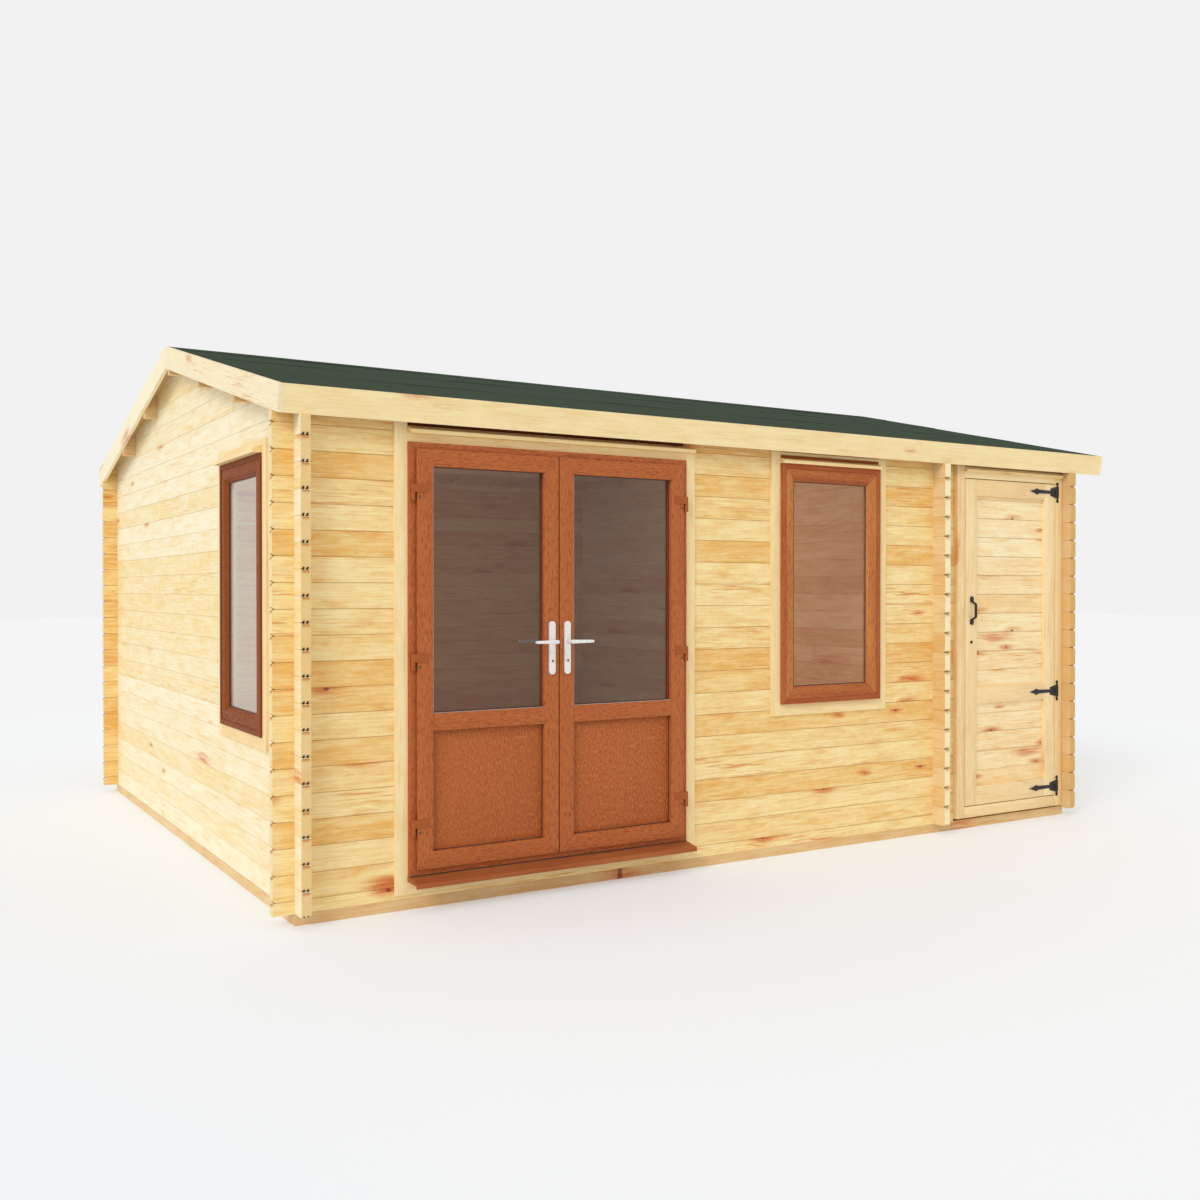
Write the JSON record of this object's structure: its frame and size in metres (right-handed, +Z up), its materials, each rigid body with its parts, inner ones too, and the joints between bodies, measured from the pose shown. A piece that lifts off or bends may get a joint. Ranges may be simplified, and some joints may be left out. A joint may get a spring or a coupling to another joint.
{
  "type": "log cabin",
  "caption": "Interlocking log cabin with a shallow felted gable roof, glazed double doors, tall windows and a side store behind its own boarded door.",
  "frame": {"origin": "middle of the overall plan, at ground level", "axes": "+Z up, +X to the right along the front from the double door towards the store, +Y from the front to the back"},
  "size_m": [5.396, 4.381, 2.833],
  "materials": {
    "pine_logs": "planed knotty softwood logs, oiled",
    "pine_trim": "planed softwood boards",
    "store_timber": "planed softwood joinery",
    "roof_timber": "sawn softwood",
    "floor_timber": "planed softwood boards",
    "woodgrain_foil": "orange-brown wood-grain foil",
    "brown_glass": "brown tinted glass",
    "clear_glass": "pale clear glass",
    "green_felt": "dark green mineral felt",
    "satin_handle": "satin",
    "black_iron": "black powder coat",
    "glazing_rubber": "dark glazing gasket",
    "key_brass": "satin"
  },
  "bodies": {
    "cabin": {"back_fascia": "pine_trim", "back_wall": "pine_logs", "base_bearers": "roof_timber", "cross_gable": "pine_logs", "cross_wall": "pine_logs", "door_cill": "woodgrain_foil", "door_frame": "woodgrain_foil", "door_frame_hinges": "woodgrain_foil", "door_trim": "pine_trim", "drip_caps": "pine_trim", "floors": "floor_timber", "front_fascia": "pine_trim", "front_wall_left": "pine_logs", "front_wall_middle": "pine_logs", "front_wall_over_door": "pine_logs", "front_wall_over_store": "pine_logs", "front_wall_right": "pine_logs", "front_wall_under_door": "pine_logs", "front_window_frame": "woodgrain_foil", "front_window_glass": "brown_glass", "front_window_trim": "pine_trim", "left_bargeboards": "pine_trim", "left_gable": "pine_logs", "left_wall": "pine_logs", "purlins": "roof_timber", "right_bargeboards": "pine_trim", "right_gable": "pine_logs", "right_wall": "pine_logs", "roof_boards": "roof_timber", "roof_felt": "green_felt", "side_window_frame": "woodgrain_foil", "side_window_glass": "clear_glass", "side_window_trim": "pine_trim", "store_door_frame": "store_timber", "store_door_hinge_plates": "black_iron"},
    "left_door": {"left_door_leaf": "woodgrain_foil", "left_door_glass": "brown_glass", "left_door_panel": "woodgrain_foil", "left_door_plates": "satin_handle", "left_door_hinges": "woodgrain_foil"},
    "right_door": {"right_door_leaf": "woodgrain_foil", "right_door_glass": "brown_glass", "right_door_panel": "woodgrain_foil", "right_door_plates": "satin_handle", "right_door_hinges": "woodgrain_foil"},
    "left_lever": {"left_door_levers": "satin_handle"},
    "right_lever": {"right_door_levers": "satin_handle"},
    "store_door": {"store_door_leaf": "store_timber", "store_door_boards": "store_timber", "store_door_hinge_straps": "black_iron", "store_door_pull": "black_iron"}
  },
  "joints": [
    {"name": "left_door_swing", "type": "hinge", "parent": "cabin", "child": "left_door", "pos_m": [-2.075, -2.1145, 0.184], "axis": [0, 0, -1], "range_deg": [0, 100]},
    {"name": "right_door_swing", "type": "hinge", "parent": "cabin", "child": "right_door", "pos_m": [-0.575, -2.1145, 0.184], "axis": [0, 0, 1], "range_deg": [0, 100]},
    {"name": "store_door_swing", "type": "hinge", "parent": "cabin", "child": "store_door", "pos_m": [2.3225, -2.1035, 0.139], "axis": [0, 0, 1], "range_deg": [0, 110]},
    {"name": "left_lever_turn", "type": "hinge", "parent": "left_door", "child": "left_lever", "pos_m": [-1.367, -2.1205, 1.199], "axis": [0, -1, 0], "range_deg": [-40, 40], "stiffness_Nm_per_rad": 6, "springref_deg": -1.03},
    {"name": "right_lever_turn", "type": "hinge", "parent": "right_door", "child": "right_lever", "pos_m": [-1.283, -2.1205, 1.199], "axis": [0, 1, 0], "range_deg": [-40, 40], "stiffness_Nm_per_rad": 6, "springref_deg": -1.03}
  ]
}
